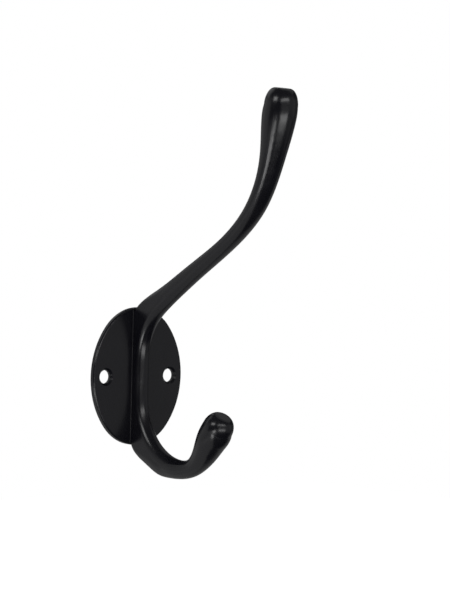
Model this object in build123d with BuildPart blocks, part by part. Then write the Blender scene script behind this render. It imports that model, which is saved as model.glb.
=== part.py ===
from build123d import *
import os
from math import atan2, cos, degrees, hypot, radians, sin

os.makedirs("parts", exist_ok=True)

# Double coat hook, cast in one piece. Millimetres. The back of the oval plate lies in the
# plane Y = 0 with the wall behind it at +Y, both hooks reach out along -Y, and Z is up.
# The hook is one bar of changing section, bent in the plane X = 0. Points of its lines are
# given as (reach from the wall, height), and headings as degrees above the outward level.

# Oval wall plate
plate_width = 38.1
plate_height = 45.0
plate_thickness = 1.6
plate_edge_radius = 0.6

# Two countersunk screw holes, side by side at mid-height
screw_hole_diameter = 4.4
screw_head_diameter = 5.8
screw_head_angle = 90.0
screw_hole_spacing = 27.5

# Web: the upright stretch of the bar, rooted in the plate
web_reach = 5.4
web_width = 5.4
web_nose = 2.5
web_root_cover = 0.4
web_root_round = 1.0
web_foot_radius = 0.3
web_foot_overlap = 0.04

# Upper bend, from the web into the arm, starting below the plate's top edge
upper_bend_drop = 17.0
upper_bend_radius = 19.58
upper_web_turn = 20.0
upper_web_depth = 6.7
arm_foot_turn = 35.0
arm_foot_depth = 8.8
arm_foot_nose = 2.7
arm_foot_heel = 0.8

# Upper arm: a straight rising run, a wide bend and a near-upright end
arm_rise = 32.4
arm_root_depth = 7.55
arm_root_nose = 3.0
arm_root_heel = 2.8
arm_run_length = 36.6
arm_run_station = 6.7
arm_run_width = 5.5
arm_run_depth = 6.7
arm_waist_station = 19.7
arm_waist_width = 5.6
arm_waist_depth = 5.8
arm_bend_entry_width = 6.0
arm_bend_entry_depth = 5.25
arm_bend_radius = 43.0
arm_bend_turn = 46.6
arm_bend_width = 7.2
arm_bend_depth = 5.9
arm_neck_width = 8.8
arm_neck_depth = 8.0
arm_end_length = 15.05

# Bulb at the top of the arm, closed by a dome with a small flat
upper_bulb_diameter = 10.7
upper_bulb_start = 9.8
upper_collar_diameter = 10.7
upper_end_tilt = 5.0
upper_dome_height = 5.6
upper_flat_diameter = 4.7

# Lower bend, from the web round under the plate into the throat of the lower hook, starting
# above the plate's lower edge
lower_bend_rise = 16.5
lower_bend_radius = 20.0
lower_web_turn = 20.0
lower_web_depth = 6.5
hook_foot_turn = 37.0
hook_foot_depth = 9.8
hook_foot_nose = 2.8
hook_foot_heel = 1.6
hook_shoulder_turn = 52.0
hook_shoulder_depth = 8.7
hook_shoulder_round = 3.2
throat_entry_turn = 66.0
throat_entry_depth = 7.9
throat_turn = 75.0
throat_width = 5.9
throat_depth = 6.9

# Lower hook beyond its throat, up to a smaller bulb
hook_bend_radius = 14.0
hook_bend_heading = 56.0
hook_bend_diameter = 6.1
hook_neck_diameter = 8.2
hook_end_length = 10.2
lower_bulb_diameter = 10.1
lower_bulb_start = 5.5
lower_collar_diameter = 10.1
lower_dome_height = 4.8
lower_flat_diameter = 3.6

# Half of the arc, in degrees, that an oval section gives to each flank
flank_angle = 25.0


def side_point(reach, height):
    return Vector(0, -reach, height)


def along(heading):
    return Vector(0, -cos(radians(heading)), sin(radians(heading)))


def bar_section(centre, heading, width, depth, nose, heel):
    """Closed section across the bar: rounded nose, flat flanks and rounded heel."""
    half = width / 2
    nose_y = nose - depth / 2
    heel_y = depth / 2 - heel
    with BuildSketch(Plane(origin=centre, x_dir=(1, 0, 0), z_dir=along(heading))) as outline:
        with BuildLine():
            EllipticalCenterArc((0, nose_y), half, nose, start_angle=180, arc_size=180)
            Line((half, nose_y), (half, heel_y))
            EllipticalCenterArc((0, heel_y), half, heel, start_angle=0, arc_size=180)
            Line((-half, heel_y), (-half, nose_y))
        make_face()
    return outline.sketch.face()


def oval_section(centre, heading, width, depth):
    """Oval in the same four pieces, so that it lofts into a section with flat flanks."""
    radii = (width / 2, depth / 2)
    with BuildSketch(Plane(origin=centre, x_dir=(1, 0, 0), z_dir=along(heading))) as outline:
        with BuildLine():
            EllipticalCenterArc((0, 0), *radii, start_angle=180 + flank_angle, arc_size=180 - 2 * flank_angle)
            EllipticalCenterArc((0, 0), *radii, start_angle=-flank_angle, arc_size=2 * flank_angle)
            EllipticalCenterArc((0, 0), *radii, start_angle=flank_angle, arc_size=180 - 2 * flank_angle)
            EllipticalCenterArc((0, 0), *radii, start_angle=180 - flank_angle, arc_size=2 * flank_angle)
        make_face()
    return outline.sketch.face()


def hung_section(front, heading, width, depth, nose, heel):
    """Section whose nose touches a point of the bar's front line."""
    return bar_section(front + along(heading + 90) * (depth / 2), heading, width, depth, nose, heel)


# Front line: the upright web and the bend at each end of it
upper_centre = side_point(web_reach + upper_bend_radius, plate_height / 2 - upper_bend_drop)
lower_centre = side_point(web_reach + lower_bend_radius, lower_bend_rise - plate_height / 2)


def upper_front(turn):
    return upper_centre + along(180 - turn) * upper_bend_radius


def lower_front(turn):
    return lower_centre + along(180 + turn) * lower_bend_radius


def upper_section(turn, depth, nose, heel):
    return hung_section(upper_front(turn), 90 - turn, web_width, depth, nose, heel)


def lower_section(turn, depth, nose, heel):
    return hung_section(lower_front(turn), 90 + turn, web_width, depth, nose, heel)


# Middle line of the upper arm
arm_root = upper_front(90 - arm_rise) + along(90 + arm_rise) * (arm_root_depth / 2)
arm_bend_entry = arm_root + along(arm_rise) * arm_run_length
arm_bend_centre = arm_bend_entry + along(90 + arm_rise) * arm_bend_radius
arm_neck_heading = arm_rise + arm_bend_turn


def arm_bend(heading):
    return arm_bend_centre + along(heading - 90) * arm_bend_radius


arm_bulb = arm_bend(arm_neck_heading) + along(arm_neck_heading) * upper_bulb_start
arm_collar = arm_bend(arm_neck_heading) + along(arm_neck_heading) * arm_end_length
arm_end_heading = arm_neck_heading + upper_end_tilt

# Middle line of the lower hook beyond its throat
throat_heading = throat_turn - 90
throat = lower_front(throat_turn) + along(throat_heading - 90) * (throat_depth / 2)
hook_bend_centre = throat + along(throat_heading + 90) * hook_bend_radius


def hook_bend(heading):
    return hook_bend_centre + along(heading - 90) * hook_bend_radius


hook_bulb = hook_bend(hook_bend_heading) + along(hook_bend_heading) * lower_bulb_start
hook_collar = hook_bend(hook_bend_heading) + along(hook_bend_heading) * hook_end_length

# Sections of the bar in order, from the lower tip round the web to the upper tip
web_depth = web_reach - web_root_cover
arm_mid_heading = arm_rise + arm_bend_turn / 2
hook_mid_heading = hook_bend_heading / 2
lower_hook_sections = [
    oval_section(hook_collar, 180 + hook_bend_heading, lower_collar_diameter, lower_collar_diameter),
    oval_section(hook_bulb, 180 + hook_bend_heading, lower_bulb_diameter, lower_bulb_diameter),
    oval_section(hook_bend(hook_bend_heading), 180 + hook_bend_heading, hook_neck_diameter, hook_neck_diameter),
    oval_section(hook_bend(hook_mid_heading), 180 + hook_mid_heading, hook_bend_diameter, hook_bend_diameter),
    oval_section(throat, 180 + throat_heading, throat_width, throat_depth),
]
web_sections = [
    lower_section(throat_entry_turn, throat_entry_depth, hook_shoulder_round, hook_shoulder_round),
    lower_section(hook_shoulder_turn, hook_shoulder_depth, hook_shoulder_round, hook_shoulder_round),
    lower_section(hook_foot_turn, hook_foot_depth, hook_foot_nose, hook_foot_heel),
    lower_section(lower_web_turn, lower_web_depth, web_nose, web_root_round),
    lower_section(0, web_depth, web_nose, web_root_round),
    hung_section(side_point(web_reach, 0), 90, web_width, web_depth, web_nose, web_root_round),
    upper_section(0, web_depth, web_nose, web_root_round),
    upper_section(upper_web_turn, upper_web_depth, web_nose, web_root_round),
    upper_section(arm_foot_turn, arm_foot_depth, arm_foot_nose, arm_foot_heel),
    upper_section(90 - arm_rise, arm_root_depth, arm_root_nose, arm_root_heel),
]
arm_sections = [
    oval_section(arm_root + along(arm_rise) * arm_run_station, arm_rise, arm_run_width, arm_run_depth),
    oval_section(arm_root + along(arm_rise) * arm_waist_station, arm_rise, arm_waist_width, arm_waist_depth),
    oval_section(arm_bend_entry, arm_rise, arm_bend_entry_width, arm_bend_entry_depth),
    oval_section(arm_bend(arm_mid_heading), arm_mid_heading, arm_bend_width, arm_bend_depth),
    oval_section(arm_bend(arm_neck_heading), arm_neck_heading, arm_neck_width, arm_neck_depth),
    oval_section(arm_bulb, arm_neck_heading, upper_bulb_diameter, upper_bulb_diameter),
    oval_section(arm_collar, arm_end_heading, upper_collar_diameter, upper_collar_diameter),
]


def dome_profile(radius, flat_radius, height):
    """Half of a dome's section: up the axis, out along the flat and down a quarter oval."""
    shoulder = radius - flat_radius
    with BuildLine() as profile:
        EllipticalCenterArc((flat_radius, 0), shoulder, height, start_angle=0, arc_size=90)
        Polyline((flat_radius, height), (0, height), (0, 0), (radius, 0))
    return make_face(profile.edges())


def plate_outline(half_width, half_height):
    """Four-centred oval: side arcs and end arcs that meet tangent to each other."""
    chord = hypot(half_width, half_height)
    end_radius = chord * (chord + half_width - half_height) / (2 * half_height)
    side_radius = chord * (chord - half_width + half_height) / (2 * half_width)
    end_centre = half_height - end_radius
    side_centre = half_width - side_radius
    side_half = degrees(atan2(end_centre, -side_centre))
    end_sweep = 180 - 2 * side_half
    with BuildLine() as outline:
        CenterArc((side_centre, 0), side_radius, -side_half, 2 * side_half)
        CenterArc((0, end_centre), end_radius, side_half, end_sweep)
        CenterArc((-side_centre, 0), side_radius, 180 - side_half, 2 * side_half)
        CenterArc((0, -end_centre), end_radius, 180 + side_half, end_sweep)
    return make_face(outline.edges())


# Oval plate, rounded round its front edge
with BuildPart() as plate:
    with BuildSketch(Plane.XZ):
        plate_outline(plate_width / 2, plate_height / 2)
    extrude(amount=plate_thickness)
    fillet(plate.faces().sort_by(Axis.Y)[0].edges(), plate_edge_radius)

# Foot of the web: a hollow round along each flank, ending at the plate's flat front
with BuildPart() as foot:
    with BuildSketch(Plane.XY):
        flank = web_width / 2 - web_foot_overlap
        toe = flank + web_foot_radius
        front = -plate_thickness
        crest = front - web_foot_radius
        with BuildLine():
            Line((-toe, front), (toe, front))
            CenterArc((toe, crest), web_foot_radius, 90, 90)
            Line((flank, crest), (-flank, crest))
            CenterArc((-toe, crest), web_foot_radius, 0, 90)
        make_face()
    extrude(amount=plate_height / 2, both=True)
    with BuildSketch(Plane.XZ):
        plate_outline(plate_width / 2, plate_height / 2)
        offset(amount=-plate_edge_radius, mode=Mode.REPLACE)
    extrude(amount=web_reach, mode=Mode.INTERSECT)

# The whole casting: the bar with its domed ends, the foot, the plate and its screw holes
with BuildPart() as coat_hook:
    loft(sections=lower_hook_sections + web_sections + arm_sections)
    with BuildSketch(Plane(origin=arm_collar, x_dir=(1, 0, 0), z_dir=along(arm_end_heading - 90))):
        dome_profile(upper_collar_diameter / 2, upper_flat_diameter / 2, upper_dome_height)
    revolve(axis=Axis(arm_collar, along(arm_end_heading)))
    with BuildSketch(Plane(origin=hook_collar, x_dir=(1, 0, 0), z_dir=along(hook_bend_heading - 90))):
        dome_profile(lower_collar_diameter / 2, lower_flat_diameter / 2, lower_dome_height)
    revolve(axis=Axis(hook_collar, along(hook_bend_heading)))
    add(plate.part)
    add(foot.part)
    with Locations(Plane(origin=(0, -plate_thickness, 0), x_dir=(1, 0, 0), z_dir=(0, -1, 0))):
        with GridLocations(screw_hole_spacing, 1, 2, 1):
            CounterSinkHole(
                screw_hole_diameter / 2,
                screw_head_diameter / 2,
                plate_thickness,
                screw_head_angle,
            )

print("solids", len(coat_hook.solids()), "valid", coat_hook.part.is_valid)
print("volume", coat_hook.part.volume, "box", coat_hook.part.bounding_box())

coat_hook.part.label = "coat_hook"
export_step(coat_hook.part, "parts/coat_hook.step")
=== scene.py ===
"""A black cast coat hook in a plain studio, seen from the photograph's viewing angle.

The hook is one casting: an oval wall plate with two countersunk screw holes, an upright web, a long
upper arm and a short lower hook, both ending in a rounded bulb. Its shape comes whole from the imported
model. This script gives it its paint, and sets up the floor, the light and the camera. Lengths are in
metres, +Z is up, the wall would stand at Y = 0, and the hook reaches out along -Y.
"""

import logging
from dataclasses import dataclass
from enum import Enum
from math import cos, pi, radians, sin, tan
from typing import Any

import bpy
from mathutils import Matrix, Vector

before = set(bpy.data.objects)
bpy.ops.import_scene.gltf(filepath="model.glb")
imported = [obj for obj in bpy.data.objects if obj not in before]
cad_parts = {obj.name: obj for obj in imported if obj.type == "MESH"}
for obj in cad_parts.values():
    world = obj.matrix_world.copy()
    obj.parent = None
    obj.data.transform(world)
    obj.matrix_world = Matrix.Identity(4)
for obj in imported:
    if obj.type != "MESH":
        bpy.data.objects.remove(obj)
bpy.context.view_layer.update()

IMAGE_HEIGHT = 600

# Sockets of a Mix node in its colour mode, whose names it shares with its other modes
MIX_FIRST_COLOUR = 6
MIX_SECOND_COLOUR = 7
MIX_COLOUR_RESULT = 2

log = logging.getLogger("coat_hook")


def toward(azimuth: float, elevation: float) -> Vector:
    """Unit vector from the hook towards a place in the studio.

    Args:
        azimuth: degrees from straight out of the wall (-Y) round towards -X, as seen from above.
        elevation: degrees above the level.

    Returns:
        The direction.
    """
    a = radians(azimuth)
    e = radians(elevation)
    return Vector((-sin(a) * cos(e), -cos(a) * cos(e), sin(e)))


class Shade:
    """A number, colour or vector on its way through a node tree, for use in expressions."""

    def __init__(self, graph: "ShaderGraph", maker: bpy.types.Node, output: int | str = 0) -> None:
        """Keeps the graph, the node that makes the value and which of its outputs carries it."""
        self.graph = graph
        self.maker = maker
        self.output = output

    def out(self, output: int | str) -> "Shade":
        """Another output of the same node."""
        return Shade(self.graph, self.maker, output)

    def _math(self, operation: str, first: Any, second: Any) -> "Shade":
        """One Math node on two values."""
        return self.graph.node("ShaderNodeMath", {"operation": operation}, [first, second])

    def __add__(self, other: Any) -> "Shade":
        """Sum."""
        return self._math("ADD", self, other)

    def __radd__(self, other: Any) -> "Shade":
        """Sum, with the number on the left."""
        return self._math("ADD", other, self)

    def __sub__(self, other: Any) -> "Shade":
        """Difference."""
        return self._math("SUBTRACT", self, other)

    def __rsub__(self, other: Any) -> "Shade":
        """Difference, with the number on the left."""
        return self._math("SUBTRACT", other, self)

    def __mul__(self, other: Any) -> "Shade":
        """Product."""
        return self._math("MULTIPLY", self, other)

    def __rmul__(self, other: Any) -> "Shade":
        """Product, with the number on the left."""
        return self._math("MULTIPLY", other, self)

    def __truediv__(self, other: Any) -> "Shade":
        """Quotient."""
        return self._math("DIVIDE", self, other)

    def __rtruediv__(self, other: Any) -> "Shade":
        """Quotient, with the number on top."""
        return self._math("DIVIDE", other, self)

    def __pow__(self, other: Any) -> "Shade":
        """Power."""
        return self._math("POWER", self, other)

    def larger(self, other: Any) -> "Shade":
        """The larger of this value and another."""
        return self._math("MAXIMUM", self, other)

    def rise(self, low: float, high: float, start: float = 0.0, end: float = 1.0) -> "Shade":
        """Goes smoothly from start to end while this value goes from low to high.

        Args:
            low: value at which the change starts.
            high: value at which the change ends.
            start: result up to low.
            end: result from high on.

        Returns:
            The eased value.
        """
        eased = {"interpolation_type": "SMOOTHSTEP"}
        return self.graph.node("ShaderNodeMapRange", eased, [self, low, high, start, end])


class ShaderGraph:
    """The node tree of one material or of the world."""

    def __init__(self, owner: bpy.types.Material | bpy.types.World) -> None:
        """Turns the owner's nodes on and empties its tree."""
        owner.use_nodes = True
        self.tree = owner.node_tree
        self.tree.nodes.clear()

    def node(self, kind: str, settings: dict[str, Any], inputs: Any) -> Shade:
        """Adds a node.

        Args:
            kind: the node's type.
            settings: its own properties, set before its sockets.
            inputs: values or Shades, in a list by socket order or in a dict by socket name.

        Returns:
            The node's first output.
        """
        made = self.tree.nodes.new(kind)
        for name, value in settings.items():
            setattr(made, name, value)
        pairs = inputs.items() if isinstance(inputs, dict) else enumerate(inputs)
        for key, value in pairs:
            if isinstance(value, Shade):
                self.tree.links.new(value.maker.outputs[value.output], made.inputs[key])
            else:
                made.inputs[key].default_value = value
        return Shade(self, made)

    def place(self) -> Shade:
        """Object coordinates, in metres."""
        return self.node("ShaderNodeTexCoord", {}, {}).out("Object")

    def noise(self, place: Shade, grain: float, octaves: float) -> Shade:
        """Soft random field between 0 and 1.

        Args:
            place: the coordinates it follows.
            grain: size of its largest patches, in metres.
            octaves: how many finer layers it has.

        Returns:
            The field's value.
        """
        return self.node("ShaderNodeTexNoise", {}, {"Vector": place, "Scale": 1 / grain, "Detail": octaves})


@dataclass(frozen=True)
class BlackPaint:
    """Smooth semi-gloss black paint, baked on over a casting."""

    shadow_tone: tuple[float, float, float, float] = (0.002, 0.002, 0.0034, 1)
    bloom_tone: tuple[float, float, float, float] = (0.004, 0.004, 0.0058, 1)
    sheen_grain: float = 0.009
    sheen_octaves: float = 3.0
    sheen_low: float = 0.3
    sheen_high: float = 0.7
    smoothest: float = 0.20
    roughest: float = 0.27
    refraction: float = 1.5
    peel_grain: float = 0.0016
    peel_octaves: float = 2.0
    peel_height: float = 0.000006
    wave_grain: float = 0.011
    wave_octaves: float = 1.0
    wave_height: float = 0.00003

    def material(self) -> bpy.types.Material:
        """Builds the paint.

        Returns:
            The material.
        """
        paint = bpy.data.materials.new("black_paint")
        graph = ShaderGraph(paint)
        place = graph.place()
        bloom = graph.noise(place, self.sheen_grain, self.sheen_octaves)
        tones = {"Factor": bloom, MIX_FIRST_COLOUR: self.shadow_tone, MIX_SECOND_COLOUR: self.bloom_tone}
        tone = graph.node("ShaderNodeMix", {"data_type": "RGBA"}, tones)
        sheen = bloom.rise(self.sheen_low, self.sheen_high, self.smoothest, self.roughest)
        wave = graph.noise(place, self.wave_grain, self.wave_octaves)
        peel = graph.noise(place, self.peel_grain, self.peel_octaves)
        waved = graph.node("ShaderNodeBump", {}, {"Distance": self.wave_height, "Height": wave})
        skin_relief = {"Distance": self.peel_height, "Height": peel, "Normal": waved}
        peeled = graph.node("ShaderNodeBump", {}, skin_relief)
        skin = graph.node(
            "ShaderNodeBsdfPrincipled",
            {},
            {
                "Base Color": tone.out(MIX_COLOUR_RESULT),
                "Roughness": sheen,
                "IOR": self.refraction,
                "Normal": peeled,
            },
        )
        graph.node("ShaderNodeOutputMaterial", {}, {"Surface": skin})
        return paint


class Lamp(Enum):
    """The soft lamps: azimuth, elevation, half width and half height in degrees, and brightness."""

    HIGH_FRONT = (16.0, 20.0, 27.0, 5.0, 3.5)
    LOW_FRONT = (14.0, -19.0, 24.0, 6.0, 3.5)
    HIGH_SIDE = (86.0, 25.0, 12.0, 7.0, 4.4)
    LOW_SIDE = (70.0, -24.0, 9.0, 6.5, 4.6)


class Side(Enum):
    """What the paint mirrors of the studio.

    Each side gives its azimuth and half width in degrees, the lowest and the highest upward part of the
    directions that it covers (-1 straight down, 1 straight up), and its brightness.
    """

    FRONT = (-15.0, 55.0, -0.24, 0.26, 0.27)
    BACK_LEFT = (148.0, 32.0, -0.26, 0.26, 0.40)
    BACK_HIGH = (176.0, 30.0, 0.30, 0.80, 0.50)
    BACK_RIGHT = (-125.0, 50.0, -0.24, 0.24, 0.08)
    HIGH_GLOW = (45.0, 105.0, 0.26, 0.44, 0.24)
    LOW_GLOW = (30.0, 90.0, -0.44, -0.27, 0.26)
    TOP_RIGHT = (-100.0, 40.0, 0.50, 2.0, 0.26)
    TOP_REST = (80.0, 140.0, 0.46, 2.0, 0.06)
    LOW_LEFT = (120.0, 58.0, -2.0, -0.24, 0.44)
    LOW_RIGHT = (-130.0, 50.0, -2.0, -0.24, 0.30)
    BACKDROP = (-137.0, 14.0, -0.24, 0.18, 0.9)


@dataclass
class Studio:
    """Pale floor, soft lamps and the room that the paint mirrors."""

    floor_height: float = -0.8
    floor_size: float = 12.0
    floor_tone: tuple[float, float, float, float] = (0.8, 0.8, 0.8, 1)
    floor_top_up: float = 0.5
    lamp_distance: float = 1.5
    aim: tuple[float, float, float] = (0.0, -0.03, 0.03)
    daylight: float = 0.8
    side_blur: float = 16.0
    level_blur: float = 0.10
    dimmest: float = 0.01
    least_level: float = 0.0001

    def build(self) -> None:
        """Builds the floor, the lamps and the room."""
        self.floor()
        for lamp in Lamp:
            self.lamp(lamp)
        self.room()

    def floor(self) -> None:
        """Adds the plain pale floor, which shows white to the camera but for the hook's shadow."""
        bpy.ops.object.select_all(action="DESELECT")
        bpy.ops.mesh.primitive_plane_add(size=self.floor_size, location=(0, 0, self.floor_height))
        floor = bpy.context.object
        floor.name = "floor"
        floor.visible_glossy = False
        pale = bpy.data.materials.new("pale_floor")
        graph = ShaderGraph(pale)
        path = graph.node("ShaderNodeLightPath", {}, {})
        seen = path.out("Is Camera Ray").larger(path.out("Is Transmission Ray"))
        matt = graph.node("ShaderNodeBsdfDiffuse", {}, {"Color": self.floor_tone})
        white = graph.node("ShaderNodeEmission", {}, {"Strength": seen * self.floor_top_up})
        both = graph.node("ShaderNodeAddShader", {}, [matt, white])
        graph.node("ShaderNodeOutputMaterial", {}, {"Surface": both})
        floor.data.materials.append(pale)
        log.info("floor at %.3f m", self.floor_height)

    def lamp(self, lamp: Lamp) -> None:
        """Adds one soft lamp, turned to the hook.

        Args:
            lamp: where it stands, how wide and high it looks from the hook, and how bright its face is.
        """
        azimuth, elevation, half_width, half_height, brightness = lamp.value
        width = 2 * self.lamp_distance * tan(radians(half_width))
        height = 2 * self.lamp_distance * tan(radians(half_height))
        light = bpy.data.lights.new(lamp.name.lower(), "AREA")
        light.shape = "RECTANGLE"
        light.size = width
        light.size_y = height
        light.energy = brightness * pi * width * height
        placed = bpy.data.objects.new(lamp.name.lower(), light)
        bpy.context.collection.objects.link(placed)
        away = toward(azimuth, elevation)
        placed.location = Vector(self.aim) + away * self.lamp_distance
        placed.rotation_euler = away.to_track_quat("Z", "Y").to_euler()
        placed.visible_camera = False
        log.info("lamp %s, %.2f W", lamp.name.lower(), light.energy)

    def room(self) -> None:
        """Makes the world: white to the camera, even daylight on the hook, and soft sides in its gloss."""
        world = bpy.data.worlds.new("studio")
        bpy.context.scene.world = world
        graph = ShaderGraph(world)
        heading = graph.node("ShaderNodeTexCoord", {}, {}).out("Generated")
        axes = graph.node("ShaderNodeSeparateXYZ", {}, [heading])
        x, y, z = axes.out("X"), axes.out("Y"), axes.out("Z")
        level = (1 - z * z).larger(self.least_level) ** 0.5
        half_blur = self.level_blur / 2
        mirrored = self.dimmest
        for side in Side:
            azimuth, half_width, lowest, highest, brightness = side.value
            out = toward(azimuth, 0)
            nearness = (x * out.x + y * out.y) / level
            rim, core = (cos(radians(half_width + turn * self.side_blur / 2)) for turn in (1, -1))
            across = nearness.rise(rim, core)
            above = z.rise(lowest - half_blur, lowest + half_blur)
            below = z.rise(highest - half_blur, highest + half_blur, 1, 0)
            mirrored = mirrored + across * above * below * brightness
        path = graph.node("ShaderNodeLightPath", {}, {})
        glossy = path.out("Is Glossy Ray")
        seen = path.out("Is Camera Ray").larger(path.out("Is Transmission Ray"))
        unseen = glossy * mirrored + (1 - glossy) * self.daylight
        light = graph.node("ShaderNodeBackground", {}, {"Strength": seen + (1 - seen) * unseen})
        graph.node("ShaderNodeOutputWorld", {}, {"Surface": light})
        light.maker.inputs["Color"].default_value = (1, 1, 1, 1)
        log.info("room ready")


@dataclass
class PhotoCamera:
    """Camera at the photograph's viewing angle."""

    azimuth: float = 43.0
    elevation: float = 1.8
    roll: float = 1.45
    distance: float = 1.0
    aim_right: float = 0.02879
    aim_up: float = 0.02553
    focal_pixels: float = 3060.0
    sensor_height: float = 24.0
    nearest: float = 0.01
    farthest: float = 50.0

    def build(self) -> bpy.types.Object:
        """Adds the camera and makes it the scene's.

        Returns:
            The camera object.
        """
        back = toward(self.azimuth, self.elevation)
        right = Vector((0, 0, 1)).cross(back).normalized()
        up = back.cross(right)
        turn = radians(self.roll)
        across = cos(turn) * right + sin(turn) * up
        upward = cos(turn) * up - sin(turn) * right
        lens = bpy.data.cameras.new("photo_camera")
        lens.sensor_fit = "VERTICAL"
        lens.sensor_height = self.sensor_height
        lens.lens = self.focal_pixels / IMAGE_HEIGHT * self.sensor_height
        lens.clip_start = self.nearest
        lens.clip_end = self.farthest
        camera = bpy.data.objects.new("photo_camera", lens)
        bpy.context.collection.objects.link(camera)
        axes = Matrix((across, upward, back)).transposed().to_4x4()
        place = back * self.distance + right * self.aim_right + up * self.aim_up
        camera.matrix_world = Matrix.Translation(place) @ axes
        bpy.context.scene.camera = camera
        return camera


@dataclass
class WallHook:
    """The casting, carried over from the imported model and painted."""

    node: str = "coat_hook"
    paint: BlackPaint = BlackPaint()

    def build(self) -> None:
        """Paints the casting."""
        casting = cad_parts[self.node]
        casting.data.materials.clear()
        casting.data.materials.append(self.paint.material())
        log.info("%s painted, %d faces", self.node, len(casting.data.polygons))


def main() -> None:
    """Builds the hook, the studio and the camera."""
    logging.basicConfig(level=logging.INFO, format="%(name)s: %(message)s")
    WallHook().build()
    Studio().build()
    PhotoCamera().build()
    bpy.context.scene.view_settings.view_transform = "Standard"


if __name__ == "__main__":
    main()
